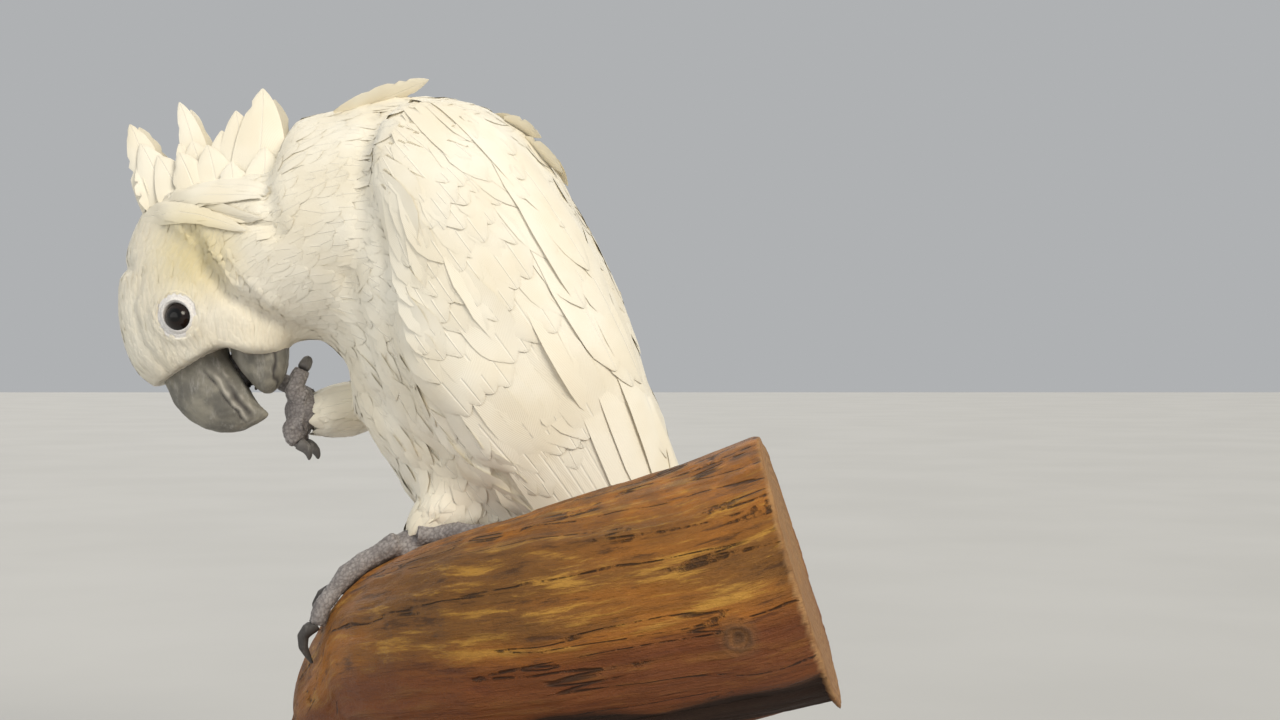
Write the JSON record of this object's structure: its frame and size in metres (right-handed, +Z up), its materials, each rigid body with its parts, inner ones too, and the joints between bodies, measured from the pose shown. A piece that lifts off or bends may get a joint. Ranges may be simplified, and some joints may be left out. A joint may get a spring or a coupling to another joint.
{
  "type": "bird model",
  "caption": "Life-size still model of a white cockatoo that bows its head to a lifted foot, held on a short cut branch by a plain rod stand.",
  "frame": {"origin": "centre of the model's bounding box, at the underside of the stand's base", "axes": "+Z up; -X is where the bird faces; -Y is the bird's left side, the side the picture shows"},
  "size_m": [0.2774, 0.2174, 0.339],
  "materials": {
    "plumage": "creamy white feathers, matte with a soft sheen",
    "bill_horn": "dark grey horn under grey powder",
    "eye": "glossy near-black",
    "foot_skin": "dull grey scaly skin",
    "claw_horn": "smooth near-black horn",
    "branch_wood": "bare weathered orange-brown wood",
    "stand_wood": "dark stained wood, satin",
    "stand_steel": "brushed steel rod"
  },
  "bodies": {
    "root": {"head": "plumage", "neck": "plumage", "trunk": "plumage", "tail": "plumage", "leg_left": "plumage", "leg_right": "plumage", "crest_1": "plumage", "crest_2": "plumage", "crest_3": "plumage", "crest_4": "plumage", "crest_5": "plumage", "crest_6": "plumage", "crest_7": "plumage", "wing_left_coverts": "plumage", "wing_left_secondaries": "plumage", "wing_left_primaries": "plumage", "eye_left": "eye", "shank_left": "foot_skin", "toe_left_inner_front": "foot_skin", "claw_left_inner_front": "claw_horn", "toe_left_outer_front": "foot_skin", "claw_left_outer_front": "claw_horn", "toe_left_inner_back": "foot_skin", "claw_left_inner_back": "claw_horn", "toe_left_outer_back": "foot_skin", "claw_left_outer_back": "claw_horn", "wing_right_coverts": "plumage", "wing_right_secondaries": "plumage", "wing_right_primaries": "plumage", "eye_right": "eye", "shank_right": "foot_skin", "toe_right_inner_front": "foot_skin", "claw_right_inner_front": "claw_horn", "toe_right_outer_front": "foot_skin", "claw_right_outer_front": "claw_horn", "toe_right_inner_back": "foot_skin", "claw_right_inner_back": "claw_horn", "toe_right_outer_back": "foot_skin", "claw_right_outer_back": "claw_horn", "upper_bill": "bill_horn", "lower_bill": "bill_horn", "perch_branch": "branch_wood", "stand_base": "stand_wood", "stand_rod_1": "stand_steel", "stand_rod_2": "stand_steel"}
  },
  "joints": []
}
